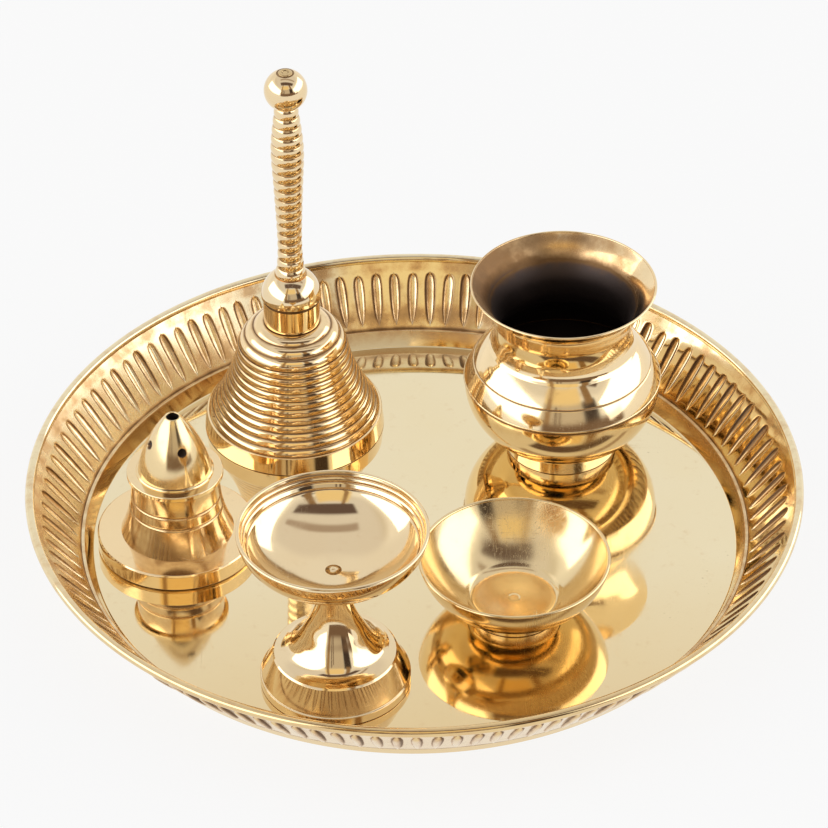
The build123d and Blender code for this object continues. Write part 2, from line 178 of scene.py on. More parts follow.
def piece(name, shape, node, body, finish):
    """A mesh object that stands for a node, at the node's own axis."""
    verts, normals, patina_and_shade, quads = shape
    mesh = bpy.data.meshes.new(name)
    mesh.from_pydata((verts * MM).tolist(), [], quads.tolist())
    mesh.polygons.foreach_set("use_smooth", np.ones(len(quads), bool))
    note(mesh, "patina_and_shade", patina_and_shade)
    lengths = np.linalg.norm(normals, axis=1)[:, None]
    mesh.normals_split_custom_set_from_vertices((normals / lengths).tolist())
    mesh.materials.append(finish)
    made = bpy.data.objects.new(name, mesh)
    bpy.context.scene.collection.objects.link(made)
    low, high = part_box(node)
    made.location = ((low.x + high.x) / 2, (low.y + high.y) / 2, FLOOR)
    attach(made, body)
    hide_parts(node)
    tall = np.ptp(verts[:, 2])
    print(f"{name}: {len(quads)} quads, {tall:.2f} mm tall, its solid {(high.z - low.z) / MM:.2f} mm")
    return made


print(f"pieces stand {FLOOR / MM:.2f} mm up, on the tray's floor")

# %% [markdown]
# ## Brass
# Polished brass has hardly any colour of its own: what shows is the room, tinted gold, and tinted again
# at each bounce, which is why the undersides glow orange. So the finish is a metal with a pale gold tint
# and low roughness. What makes it real is the disturbance: fine rings left by the turning tool, faint
# smears of handling, hair scratches, and brown tarnish where a cloth can't reach, with painted shade in
# the same brown and black layers, and a coppery layer of painted reflected warmth.
# Each effect is a node group of its own, so every finish below mixes the same effects in its own way.


# %% Node helpers
def group(name, inputs, outputs):
    """A node group with named sockets, and the two nodes at its ends."""
    tree = bpy.data.node_groups.new(name, "ShaderNodeTree")
    for label, kind, value in inputs:
        socket = tree.interface.new_socket(label, in_out="INPUT", socket_type=kind)
        if value is not None:
            socket.default_value = value
    for label in outputs:
        tree.interface.new_socket(label, in_out="OUTPUT", socket_type="NodeSocketFloat")
    return tree, tree.nodes.new("NodeGroupInput").outputs, tree.nodes.new("NodeGroupOutput").inputs


def node(tree, kind, sockets=None, **settings):
    """A new node with its settings, and its sockets set to values or linked."""
    made = tree.nodes.new("ShaderNode" + kind)
    for key, value in settings.items():
        setattr(made, key, value)
    for key, value in (sockets or {}).items():
        if isinstance(value, bpy.types.NodeSocket):
            tree.links.new(value, made.inputs[key])
        else:
            made.inputs[key].default_value = value
    return made


def math_node(tree, operation, a, b=0.0, c=0.0, clamp=False):
    return node(tree, "Math", {0: a, 1: b, 2: c}, operation=operation, use_clamp=clamp).outputs[0]


def ramp(tree, value, low, high, start=0.0, end=1.0, kind="LINEAR"):
    """From start to end while a value goes from low to high."""
    limits = {0: value, 1: low, 2: high, 3: start, 4: end}
    return node(tree, "MapRange", limits, interpolation_type=kind).outputs[0]


def noise(tree, place, scale, detail, roughness=0.5, distortion=0.0):
    """Cloudy value over the surface."""
    made = node(tree, "TexNoise", {"Vector": place, "Scale": scale, "Detail": detail})
    made.inputs["Roughness"].default_value = roughness
    made.inputs["Distortion"].default_value = distortion
    return made.outputs[0]


print("node helpers: group, node, math_node, ramp, noise")

# %% [markdown]
# The turning tool leaves rings round the axis. A one-dimensional noise does that: its coordinate is
# height plus radius, so it is the same all the way round, and it changes along any outline.

# %% Turning rings
RADIUS_SHARE = 0.83  # not 1, so a slope of 45 degrees has rings too
BROAD_SHARE = 0.21  # broad streaks are about five rings wide

turning, given, result = group(
    "turning_rings",
    [("Place", "NodeSocketVector", None), ("Rings per metre", "NodeSocketFloat", 900.0)],
    ["Height", "Streak"])
xyz = node(turning, "SeparateXYZ", {0: given["Place"]}).outputs
squares = [math_node(turning, "POWER", xyz[k], 2.0) for k in (0, 1)]
away = math_node(turning, "SQRT", math_node(turning, "ADD", *squares))
course = math_node(turning, "MULTIPLY_ADD", away, RADIUS_SHARE, xyz[2])
spread = math_node(turning, "MULTIPLY", course, given["Rings per metre"])
fine = {"W": spread, "Scale": 1.0, "Detail": 4.0, "Roughness": 0.65}
broad = {"W": math_node(turning, "MULTIPLY", spread, BROAD_SHARE), "Scale": 1.0, "Detail": 2.0}
for sockets, end in ((fine, "Height"), (broad, "Streak")):
    turning.links.new(node(turning, "TexNoise", sockets, noise_dimensions="1D").outputs[0], result[end])
print("group:", turning.name)

# %% [markdown]
# Handling leaves smears that only dull the shine, and hair scratches. A scratch is a thin slice through
# a stretched noise, and slices at other angles keep the lines from looking combed.

# %% Handling marks
HAIRS = [(0.5, (900.0, 26.0, 200.0)), (-0.9, (24.0, 1000.0, 180.0)), (2.1, (760.0, 18.0, 300.0))]
HAIR_WIDTH = 0.012

handling, given, result = group(
    "handling_marks",
    [("Place", "NodeSocketVector", None), ("Smear size", "NodeSocketFloat", 45.0)],
    ["Smear", "Scratch"])
smear = noise(handling, given["Place"], given["Smear size"], 4.0, 0.6, 0.6)
handling.links.new(ramp(handling, smear, 0.42, 0.72, kind="SMOOTHSTEP"), result["Smear"])
every = None
for turn, stretch in HAIRS:
    sockets = {0: given["Place"], "Rotation": (0.2 * turn, 0.3, turn), "Scale": stretch}
    strand = noise(handling, node(handling, "Mapping", sockets).outputs[0], 1.0, 1.0)
    off = math_node(handling, "ABSOLUTE", math_node(handling, "SUBTRACT", strand, 0.5))
    slim = ramp(handling, off, 0.0, HAIR_WIDTH, 1.0, 0.0)
    seldom = ramp(handling, noise(handling, given["Place"], 38.0 + 9 * turn, 1.0), 0.58, 0.66)
    hair = math_node(handling, "MULTIPLY", slim, seldom)
    every = math_node(handling, "MAXIMUM", every, hair) if every else hair
handling.links.new(every, result["Scratch"])
print("group:", handling.name, "with", len(HAIRS), "ways of scratches")

# %% [markdown]
# Brass first turns amber, then brown, in grooves and inside the pot, and part of that brown is painted
# shade. The black stage is painted shade alone, in holes and deep inside the pot. The meshes already say
# where, so this group only breaks that up: a noise frays its edge, and small dark specks lie scattered
# beyond it.

# %% Tarnish and painted shade
FRAY = 0.7
AMBER_FROM, BROWN_FROM, BLACK_SHADE_FROM = (0.04, 0.42), (0.22, 0.88), (1.0, 1.6)

tarnish_and_shade, given, result = group(
    "tarnish_and_shade",
    [("Place", "NodeSocketVector", None), ("Patina and shade", "NodeSocketFloat", 0.0),
     ("Specks", "NodeSocketFloat", 0.25)],
    ["Mask", "Amber", "Black shade", "Tone"])
fray = noise(tarnish_and_shade, given["Place"], 210.0, 5.0, 0.65)
pushed = math_node(tarnish_and_shade, "MULTIPLY_ADD", math_node(tarnish_and_shade, "SUBTRACT", fray, 0.5), FRAY, given["Patina and shade"])
# amber and brown are tarnish and painted shade, black is painted shade alone
amber, brown, black_shade = (
    ramp(tarnish_and_shade, pushed, *limits, kind="SMOOTHSTEP") for limits in (AMBER_FROM, BROWN_FROM, BLACK_SHADE_FROM))
cell = node(tarnish_and_shade, "TexVoronoi", {"Vector": given["Place"], "Scale": 420.0, "Randomness": 1.0})
dot = ramp(tarnish_and_shade, cell.outputs["Distance"], 0.10, 0.17, 1.0, 0.0)
rare = ramp(tarnish_and_shade, noise(tarnish_and_shade, given["Place"], 30.0, 2.0), 0.60, 0.74)
speck = math_node(tarnish_and_shade, "MULTIPLY", math_node(tarnish_and_shade, "MULTIPLY", dot, rare), given["Specks"])
brown = math_node(tarnish_and_shade, "MAXIMUM", brown, speck)
for value, end in ((brown, "Mask"), (amber, "Amber"), (black_shade, "Black shade"), (fray, "Tone")):
    tarnish_and_shade.links.new(value, result[end])
print("group:", tarnish_and_shade.name)

# %% [markdown]
# The finish puts the groups together. The tint is mixed from two close golds, so that no surface is one
# flat colour; a coppery layer of painted reflected warmth goes over it, then tarnish and painted shade in
# layers. Smears, scratches, tarnish and painted shade each add to the roughness, and the rings and
# scratches go into the bump.

# %% Colour and roughness of brass
COPPERY = (0.76, 0.52, 0.22, 1)
AMBER = (0.71, 0.47, 0.24, 1)
BROWN, LIGHT_BROWN = (0.10, 0.055, 0.028, 1), (0.30, 0.17, 0.075, 1)
BLACK_SHADE = (0.10, 0.077, 0.07, 1)


def blend(tree, first, second, factor):
    """Colour between two others."""
    return node(tree, "Mix", {"A": first, "B": second, "Factor": factor}, data_type="RGBA").outputs["Result"]


def brass_colour(tree, place, tint, warm, reflected_warmth, dark):
    gold = blend(tree, (*tint, 1), (*warm, 1), noise(tree, place, 24.0, 3.0))
    # coppery is painted reflected warmth; the brown and black layers below hold tarnish and painted shade
    gold = blend(tree, gold, COPPERY, reflected_warmth)
    brown = blend(tree, BROWN, LIGHT_BROWN, dark["Tone"])
    colour = blend(tree, gold, AMBER, dark["Amber"])
    colour = blend(tree, colour, brown, dark["Mask"])
    return blend(tree, colour, BLACK_SHADE, dark["Black shade"])


def brass_roughness(tree, dull, parts):
    """Plain roughness plus a share of each mask."""
    rough = dull
    for mask, share in parts:
        rough = math_node(tree, "MULTIPLY_ADD", mask, share, rough)
    return math_node(tree, "MAXIMUM", rough, 0.0, clamp=True)


print("layers over the gold: coppery, amber, brown, soot")

# %% Brass finishes
STREAK_SHARE, AMBER_SHARE, SATIN_SHARE, BROWN_SHARE = 0.08, 0.10, 0.2, 0.28
SCRATCH_DEPTH = -0.4


def brass(name, tint, warm, dull, rings, ring_depth, smears, scratches, specks):
    made = bpy.data.materials.new(name)
    made.use_nodes = True
    tree = made.node_tree
    shader = tree.nodes["Principled BSDF"].inputs
    shader["Metallic"].default_value = 1.0
    place = node(tree, "TexCoord").outputs["Object"]
    patina_and_shade, satin, reflected_warmth = (
        node(tree, "Attribute", attribute_name=read).outputs["Fac"] for read in ("patina_and_shade", "satin", "reflected_warmth"))
    turn = node(tree, "Group", node_tree=turning)
    hand = node(tree, "Group", node_tree=handling)
    dark = node(tree, "Group", node_tree=tarnish_and_shade)
    for used in (turn, hand, dark):
        tree.links.new(place, used.inputs["Place"])
    turn.inputs["Rings per metre"].default_value = rings
    dark.inputs["Specks"].default_value = specks
    tree.links.new(patina_and_shade, dark.inputs["Patina and shade"])
    tree.links.new(brass_colour(tree, place, tint, warm, reflected_warmth, dark.outputs), shader["Base Color"])
    streak = math_node(tree, "SUBTRACT", turn.outputs["Streak"], 0.5)
    parts = [(hand.outputs["Smear"], smears), (hand.outputs["Scratch"], scratches), (streak, STREAK_SHARE),
             (dark.outputs["Amber"], AMBER_SHARE), (satin, SATIN_SHARE), (dark.outputs["Mask"], BROWN_SHARE)]
    tree.links.new(brass_roughness(tree, dull, parts), shader["Roughness"])
    cut = math_node(tree, "MULTIPLY_ADD", hand.outputs["Scratch"], SCRATCH_DEPTH, turn.outputs["Height"])
    bump = node(tree, "Bump", {"Height": cut, "Distance": ring_depth * MM, "Strength": 1.0})
    tree.links.new(bump.outputs[0], shader["Normal"])
    print("finish:", name)
    return made


print("roughness grows with smears, scratches, streaks, amber, satin and brown")

# %% [markdown]
# Five of the finishes are shiny and differ little: the mirror of the tray, the turned pot, the lamp, the
# bell and the bowl each have their own gold, and the incense stand borrows from them. One brass for all
# would be simpler, but side by side their golds differ. The sixth is duller and darker, for fittings.

# %% Six finishes
sheet_brass = brass(
    "mirror_sheet_brass", tint=(0.91, 0.80, 0.555), warm=(0.89, 0.745, 0.466), dull=0.03,
    rings=500.0, ring_depth=0.0003, smears=0.06, scratches=0.16, specks=0.35)
turned_brass = brass(
    "turned_brass", tint=(0.93, 0.76, 0.48), warm=(0.90, 0.67, 0.37), dull=0.07,
    rings=1300.0, ring_depth=0.0012, smears=0.09, scratches=0.18, specks=0.35)
bright_brass = brass(
    "bright_brass", tint=(0.88, 0.73, 0.48), warm=(0.86, 0.64, 0.36), dull=0.065,
    rings=900.0, ring_depth=0.001, smears=0.08, scratches=0.18, specks=0.5)
bell_brass = brass(
    "bell_brass", tint=(0.95, 0.77, 0.48), warm=(0.92, 0.66, 0.35), dull=0.06,
    rings=900.0, ring_depth=0.001, smears=0.08, scratches=0.18, specks=0.5)
satin_brass = brass(
    "satin_brass", tint=(0.87, 0.70, 0.41), warm=(0.84, 0.62, 0.32), dull=0.13,
    rings=1300.0, ring_depth=0.0016, smears=0.09, scratches=0.18, specks=0.35)
fitting_brass = brass(
    "fitting_brass", tint=(0.80, 0.62, 0.34), warm=(0.62, 0.43, 0.20), dull=0.16,
    rings=1500.0, ring_depth=0.004, smears=0.12, scratches=0.2, specks=0.6)

# %% [markdown]
# ## The tray
# The tray is one sheet, spun to a step and a leaning wall, and its edge is rolled. A punch then presses
# teardrop flutes into the wall, pointed below and blunt above, which show as bumps outside.
# The floor, step and rim are swept like any turned piece. The wall is a grid of its own: each vertex is
# pushed out along the wall's normal by the depth of the flute at that spot, on both faces of the sheet.

# %% Middle line of the sheet
TRAY_R, TRAY_H, SHEET = 124.95, 26.3, 1.2
FLOOR_R, STEP_H, STEP_OUT, LEDGE, BEAD = 104.6, 4.9, 2.6, 0.9, 1.5

bead = np.array([TRAY_R - BEAD, TRAY_H - BEAD])
step_z = SHEET / 2 + STEP_H
middle = np.array([(0, SHEET / 2), (FLOOR_R, SHEET / 2), (FLOOR_R + STEP_OUT, step_z),
                   (FLOOR_R + STEP_OUT + LEDGE, step_z), bead])


def beside(points, gap):
    """The line set off to its left by gap, with mitred corners."""
    way = np.diff(points, axis=0)
    way /= np.hypot(*way.T)[:, None]
    left = np.column_stack([-way[:, 1], way[:, 0]])
    first = np.vstack([left[:1], left])
    second = np.vstack([left, left[-1:]])
    return points + (first + second) * (gap / (1 + (first * second).sum(1)))[:, None]


up = (middle[4] - middle[3]) / np.hypot(*(middle[4] - middle[3]))
pull = up * (BEAD * math.cos(math.asin(SHEET / 2 / BEAD)))
face = beside(middle, SHEET / 2)
back = beside(middle, -SHEET / 2)
face[4] -= pull
back[4] -= pull
print("wall leans", round(math.degrees(math.atan2(up[1], up[0]))), "degrees from level")

# %% [markdown]
# No two strokes of the punch are alike. A sine of the flute's number, at a rate that never repeats,
# scatters each flute's ends, place, lean and depth a little, and gives the same tray at each run.

# %% Strokes of the punch
FLUTES, FLUTE_W, FLUTE_DEPTH, FLUTE_LOW, FLUTE_HIGH = 120, 3.3, 1.0, 1.6, 19.3
SLIT = 0.12  # half width that is left below and above a flute
PITCH = 2 * math.pi / FLUTES

flute = np.arange(FLUTES)[None, :, None]
stray = [np.sin(flute * rate) for rate in (12.9898, 78.233, 37.719, 53.117)]
inside = np.sin(np.linspace(-1, 1, 19) * math.pi / 2)[None, None, :]
between = np.linspace(0, 1, 7)[None, None, 1:-1]


def strokes(rise, radius):
    """Where the flutes and the ridges between them are, at heights up the wall."""
    first = FLUTE_LOW + 0.35 * stray[0]
    last = FLUTE_HIGH + 0.3 * stray[1]
    share = np.clip((rise - first) / (last - first), 0, 1)
    half = np.maximum(SLIT, FLUTE_W / 2 * (1 - (1 - share) ** 3) ** 0.65 * np.sqrt(1 - share**10))
    centre = flute * PITCH + (0.22 * stray[2] + 0.03 * stray[3] * (rise - 10)) / radius
    after = np.roll(centre, -1, 1) + PITCH * FLUTES * (flute == FLUTES - 1)
    across = centre + half / radius * inside
    ridge = (centre + half / radius) * (1 - between) + (after - np.roll(half, -1, 1) / radius) * between
    deep = np.clip(half / (FLUTE_W / 2), 0, 1) ** 0.7 * (share > 0) * (share < 1) * (1 + 0.12 * stray[1])
    return share, across, ridge, deep


print("flutes:", FLUTES, "with", inside.size, "points across each")

# %% [markdown]
# Grime stays along the flutes' edges, with painted shade: one side of each flute is darker than the
# other, the flutes are darker on the tray's right and the wall between them a little on its left. Painted
# shade lies in the crease at the wall's foot and under the rim. Between the flutes at the back of the tray
# a soft cloud of painted reflection darkens the wall, and faint streaks run up it. An ambient occlusion node
# could find such places, but patina on the vertices says just where the grime and the painted shade are
# and how dark.

# %% Grime and painted shade on the wall
FLUTE_FLOOR, FLUTE_EDGE, FLUTE_SIDE_SHADE, FLUTE_END = 0.10, 0.75, 0.5, 0.2
SHADE_CLOUD, SHADE_CLOUD_Z, CREASE_SHADE, UNDER_RIM_SHADE, WALL_STREAK = 0.36, 5.0, 0.7, 0.16, 0.05


def wall_grime_and_shade(rise, share, across, ridge, deep, grime_and_shade):
    """Patina and painted shade over the flutes and the ridges between them."""
    # painted shade: one side of each flute darker, and the flutes darker on the tray's right
    shade = FLUTE_FLOOR + FLUTE_EDGE * np.abs(inside) ** 4
    shade = shade + FLUTE_SIDE_SHADE * np.clip(inside + 0.15, 0, 1) + FLUTE_END * share**6
    shade = shade * grime_and_shade * (0.90 + 0.12 * np.cos(across))
    dirt_and_shade = np.concatenate([deep * (shade + 0.08 * stray[3]), 0 * ridge], 2)
    angle = np.concatenate([across, ridge], 2)
    # painted reflection in a cloud at the back; painted shade in the crease and under the rim
    cloud = SHADE_CLOUD * np.exp(-((rise - SHADE_CLOUD_Z) / 4.5) ** 2) * np.exp(-((np.sin(angle) - 1) / 0.25) ** 2)
    crease = CREASE_SHADE * np.exp(-((rise / 0.8) ** 2)) + UNDER_RIM_SHADE * np.clip((rise - 19.0) / 1.5, 0, 1)
    streaks = WALL_STREAK * (np.sin(31 * angle + 1) + np.sin(53 * angle) + np.sin(89 * angle + 2))
    # the ridges a little darker on the tray's left: painted shade
    return np.maximum(dirt_and_shade, 0.06 - 0.03 * np.cos(angle) + cloud + crease + streaks)


print("grime: in the flutes, a cloud behind, the crease, under the rim, streaks")

# %% [markdown]
# A Displace modifier on an even grid could press the flutes, but clean edges would take far more vertices.
# Here the columns of the grid follow the flutes and crowd together at their steep edges.

# %% Fluted wall
FACE_ROWS, BACK_ROWS, BACK_GRIME_AND_SHADE = 56, 40, 0.85


def fluted(low, high, rows, grime_and_shade):
    """Grid of wall between two edges of the sheet, dented by the flutes."""
    rise = np.linspace(0, np.hypot(*(high - low)), rows + 1)[:, None, None]
    share, across, ridge, deep = strokes(rise, low[0] + up[0] * rise)
    angle = np.concatenate([across, ridge], 2)
    dent = FLUTE_DEPTH * np.concatenate([deep * np.sqrt(1 - 0.999 * inside**2), 0 * ridge], 2)
    dirt_and_shade = wall_grime_and_shade(rise, share, across, ridge, deep, grime_and_shade)
    count = angle.shape[1] * angle.shape[2]
    angle, dent, dirt_and_shade = (a.reshape(rows + 1, count) for a in np.broadcast_arrays(angle, dent, dirt_and_shade))
    radius = low[0] + up[0] * rise[:, :, 0] + up[1] * dent
    height = low[1] + up[1] * rise[:, :, 0] - up[0] * dent
    verts = np.stack([radius * np.cos(angle), radius * np.sin(angle), height], -1)
    normals = np.cross(np.roll(verts, -1, 1) - np.roll(verts, 1, 1), np.gradient(verts, axis=0))
    return [verts.reshape(-1, 3), normals.reshape(-1, 3), dirt_and_shade.ravel(), stitched(rows + 1, count)]


def flipped(shape):
    """The same shape facing the other way."""
    return [shape[0], -shape[1], shape[2], shape[3][:, ::-1]]


wall_face = flipped(fluted(face[3], face[4], FACE_ROWS, 1.0))
wall_back = fluted(back[3], back[4], BACK_ROWS, BACK_GRIME_AND_SHADE)
print("wall:", len(wall_face[3]) + len(wall_back[3]), "quads on both sides")

# %% [markdown]
# Floor, step and ledge are swept on both faces of the sheet. The rolled rim could be a torus of its own,
# but as an open arc it meets the wall's two faces exactly. The step gets a little grime, the ledge more;
# both are partly painted shade, the ledge's in the crease at the wall's foot.


# %% Floor, step and rim
def joined(*shapes):
    """Several swept shapes as one."""
    starts = np.cumsum([0] + [len(s[0]) for s in shapes])
    quads = [s[3] + start for s, start in zip(shapes, starts)]
    return [np.concatenate([s[k] for s in shapes]) for k in range(3)] + [np.concatenate(quads)]


TRAY_SEGMENTS, TRAY_EDGE, RIM_PATINA = 480, 0.5, 0.13
STEP_FROM, LEDGE_FROM, WALL_FROM = 1.6, 5.8, 7.0  # heights on the sheet

start = math.atan2(*(face[4] - bead)[::-1])
stop = math.atan2(*(back[4] - bead)[::-1]) - 2 * math.pi
around = np.linspace(start, stop, 40)
roll = run(bead + BEAD * np.column_stack([np.cos(around), np.sin(around)]), RIM_PATINA)
shell = [softened(face[3::-1], TRAY_EDGE), softened(back[:4], TRAY_EDGE), [roll[::-1]]]
shell = joined(*(turned(runs, TRAY_SEGMENTS) for runs in shell))
height = shell[0][:, 2]
step = np.clip((height - STEP_FROM) / 2, 0, 1) * (height < WALL_FROM)
ledge = (height > LEDGE_FROM) & (height < WALL_FROM)
# the step's and ledge's darkening: grime and painted shade
shell[2] = shell[2] + step * (0.02 + 0.04 * np.clip(shell[0][:, 0] / FLOOR_R, 0, 1)) + 0.24 * ledge
print("rolled rim:", len(roll), "points round a", 2 * BEAD, "mm roll")

# %% [markdown]
# Two more attributes belong to the tray alone. Satin blurs its step on the right and its wall on the
# left, where years of wiping have taken the mirror off. Warmth is painted reflection: it tints the front
# of the tray and the step at its back a little coppery, as light bounced between brass would.

# %% Tray
WARM_FROM_R, FRONT_WARMTH, STEP_WARMTH = 50, 0.7, 0.6

tray = piece("thali_tray", joined(shell, wall_face, wall_back), "thali_plate", "tray", sheet_brass)
tray.location.z = 0.0  # it stands on the table, not on its own floor
spot = np.concatenate([shell[0], wall_face[0], wall_back[0]])
aside = spot[:, 0] / TRAY_R
of_shell = np.arange(len(spot)) < len(step)
satin = np.concatenate([step, np.clip(1.2 - wall_face[2], 0.4, 1), np.ones(len(wall_back[0]))])
satin *= np.where(of_shell, np.clip(0.3 + aside, 0, 1), np.clip(0.5 - 0.5 * aside, 0.1, 1))
note(tray.data, "satin", satin)
# painted reflection: coppery warmth at the front of the tray and on the step at its back
outside = np.hypot(spot[:, 0], spot[:, 1]) > WARM_FROM_R
reflected_warmth = FRONT_WARMTH * outside * np.clip(-0.009 * spot[:, 1] - 0.1, 0, 1)
reflected_warmth[of_shell] += STEP_WARMTH * step * np.clip(spot[of_shell, 1] / 60, 0, 1)
note(tray.data, "reflected_warmth", reflected_warmth)

# %% [markdown]
# ## The bell
# The cup flares to a plain lip, with ridges up its side and broad rings on its shoulder. Ridges could be
# a bump in the finish, but here they show in the bell's outline, so the path of the outline itself waves.


# %% Ridges
def ribs(path, count, depth, keen, dirt_and_shade):
    """Ridges along a path: rounded crests on it and narrow grooves sunk to the left of it, darkened partly by
    painted shade.
    """
    steps = np.r_[0, np.cumsum(np.hypot(*np.diff(path[:, :2], axis=0).T))]
    even = np.linspace(0, steps[-1], count * 16 + 1)
    points = np.column_stack([np.interp(even, steps, path[:, k]) for k in (0, 1)])
    way = np.gradient(points, axis=0)
    left = np.column_stack([-way[:, 1], way[:, 0]]) / np.hypot(*way.T)[:, None]
    wave = np.abs(np.sin(math.pi * count * even / steps[-1])) ** keen
    return run(points + left * (depth * (1 - wave))[:, None], dirt_and_shade * (1 - wave) ** 2)


flare = bow((28.9, 6.7), (18.2, 33.6), -1.6, 60)
shoulder = bow((18.2, 33.6), (9.3, 42.6), 1.5, 40)
side = ribs(flare, 11, 0.36, 0.7, 1.1)
shoulder_rings = ribs(shoulder, 3, 0.5, 0.75, 1.0)
print("bell side:", len(side), "points, its shoulder:", len(shoulder_rings))

# %% [markdown]
# The cup is open below. A Solidify modifier could give it thickness, but wall and boss aren't equally thick.
# So one closed outline runs up the outside, over the boss, down the rod's bore and back along the inside.

# %% Bell cup
BOSS_R, BOSS_TOP, ROD_BORE = 9.3, 51.6, 1.65


def with_contact_shadow(shape):
    """The shape with a painted contact shadow, a dark line where it stands on the tray."""
    shape[2] = np.maximum(shape[2], np.clip(1.1 - shape[0][:, 2] / 0.3, 0, 0.8))
    return shape


cup = softened([(27.4, 0), (30.0, 0), (29.3, 6.4), side[0, :2]], 0.3)
# patina at the shoulder's ends and on the boss under the handle: partly painted shade
cup += [side, line(side[-1, :2], shoulder_rings[0, :2], 0.4), shoulder_rings,
        line(shoulder_rings[-1, :2], (BOSS_R, 42.6), 0.7), line((BOSS_R, 42.6), (BOSS_R, 50.9)),
        line((BOSS_R, 50.9), (BOSS_R, BOSS_TOP), 1.0)]
cup += softened([(BOSS_R, BOSS_TOP), (ROD_BORE, BOSS_TOP), (ROD_BORE, 39.0), (6.0, 39.0), (16.2, 33.6)], 0.25)
cup += [bow((16.2, 33.6), (25.8, 8.0), 1.5, 24, 0.35), line((25.8, 8.0), (27.4, 0), 0.2)]
piece("bell_cup_turned", with_contact_shadow(turned(cup, FINE)), "bell_cup", "bell", bell_brass)

# %% [markdown]
# The handle has a bulb, a ribbed grip with a waist and a swell, and a ball. The grip's own line is one
# smooth curve through six points, since arcs would show where they meet.

# %% Bell handle
GRIP_Z, GRIP_H, BALL_R, NECK_R, PEEN_SEAT_R = 60.8, 65.6, 7.0, 3.8, 2.9


def through(points, steps):
    """Smooth curve through a few points, with steps from each to the next."""
    p = np.array(points, float)
    p = np.vstack([2 * p[0] - p[1], p, 2 * p[-1] - p[-2]])
    t = np.linspace(0, 1, steps, endpoint=False)[:, None]
    spans = []
    for a, b, c, d in zip(p, p[1:], p[2:], p[3:]):
        spans.append(b + 0.5 * t * (c - a + t * (2 * a - 5 * b + 4 * c - d + t * (3 * b - a - 3 * c + d))))
    return run(np.vstack(spans + [p[-2:-1]]))


grip = through([(5.3, GRIP_Z), (4.4, GRIP_Z + 4.8), (4.1, GRIP_Z + 0.22 * GRIP_H),
                (4.85, GRIP_Z + 0.52 * GRIP_H), (5.4, GRIP_Z + 0.76 * GRIP_H), (NECK_R, GRIP_Z + GRIP_H)], 40)
grip = ribs(grip, 19, 0.42, 0.7, 0.5)
ball_z = GRIP_Z + GRIP_H + math.sqrt(BALL_R**2 - NECK_R**2)
around = np.linspace(-math.acos(NECK_R / BALL_R), math.acos(PEEN_SEAT_R / BALL_R), 40)
ball = run(np.column_stack([BALL_R * np.cos(around), ball_z + BALL_R * np.sin(around)]))
peen_z = ball[-1, 1]
# patina where the handle meets the boss, at the grip's ends and at the rod's end: partly painted shade
handle = [line((ROD_BORE, BOSS_TOP), (BOSS_R, BOSS_TOP)), bow((BOSS_R, BOSS_TOP), (9.9, 52.4), 0.15, 8, 1.1),
          bow((9.9, 52.4), (5.4, GRIP_Z), 1.2, 32), line((5.4, GRIP_Z), grip[0, :2], 0.3), grip,
          line(grip[-1, :2], ball[0, :2], 0.3), ball, line((PEEN_SEAT_R, peen_z), (ROD_BORE, peen_z), 0.7)]
piece("bell_handle_turned", turned(handle), "bell_handle", "bell", bright_brass)

# %% [markdown]
# A rod runs down through handle and cup. Its end is hammered flat on top of the ball, which leaves a ring
# of grooves, darkened by patina that is partly painted shade, and inside the cup its eye carries the
# clapper on a ring. Eyes and ring lie on their sides. A rotation would do that, but swapping axes is exact,
# for the normals too.


# %% Rod
def laid(shape, axis, height):
    """The shape with its axis turned from Z to X or Y, lifted to a height."""
    order = {"X": [2, 0, 1], "Y": [1, 2, 0]}[axis]
    return [shape[0][:, order] + (0, 0, height), shape[1][:, order], shape[2], shape[3]]


def flat_eye(height):
    """Flat eye with rounded edges, its hole along X."""
    section = softened([(1.7, 0), (1.7, -0.8), (3.2, -0.8), (3.2, 0.8), (1.7, 0.8), (1.7, 0)], 0.3)
    return laid(turned(section, TINY), "X", height)


PEEN_GROOVES = (1, 3)  # the two rounded corners round its hollow middle

peen = [(0, 0.28), (0.9, 0.28), (1.1, 0.46), (1.8, 0.5), (2.3, 0.2), (2.3, 0), (1.6, 0)]
rod = [(radius, peen_z + rise) for radius, rise in peen]
rod += [(1.6, 39.0), (4.2, 39.0), (4.2, 37.6), (1.3, 37.0), (1.3, 35.6)]
rod = softened(rod, 0.15)
for groove in PEEN_GROOVES:
    rod[groove][:, 2] = 0.8
rod = [points[::-1] for points in rod[::-1]]
piece("bell_rod_peened", joined(turned(rod, SLIM), flat_eye(33.2)), "bell_rod", "bell", fitting_brass)

# %% [markdown]
# The ring is bent wire, and the clapper is a ball on a stem. They are out of sight while the bell stands,
# but it can be lifted. A torus and a sphere would do, but swept outlines carry patina like all the rest.

# %% Ring and clapper
RING_R, RING_Z, WIRE_R, RING_SEGMENTS = 3.8, 28.95, 0.8, 72
STRIKER_R, STRIKER_Z, STEM_R, EYE_Z = 5.5, 8.2, 1.3, 24.7

around = np.linspace(0, 2 * math.pi, 25)
wire = run(np.column_stack([RING_R + WIRE_R * np.cos(around), WIRE_R * np.sin(around)]), 0.2)
ring = laid(turned([wire], RING_SEGMENTS), "Y", RING_Z)
piece("clapper_ring_wire", ring, "clapper_ring", "ring", fitting_brass)
around = np.linspace(-math.pi / 2, math.acos(STEM_R / STRIKER_R), 40)
knob = run(np.column_stack([STRIKER_R * np.cos(around), STRIKER_Z + STRIKER_R * np.sin(around)]), 0.1)
striker = turned([knob, line(knob[-1, :2], (STEM_R, 22.6), 0.3)], SLIM)
piece("clapper_striker", joined(striker, flat_eye(EYE_Z)), "clapper", "striker", fitting_brass)

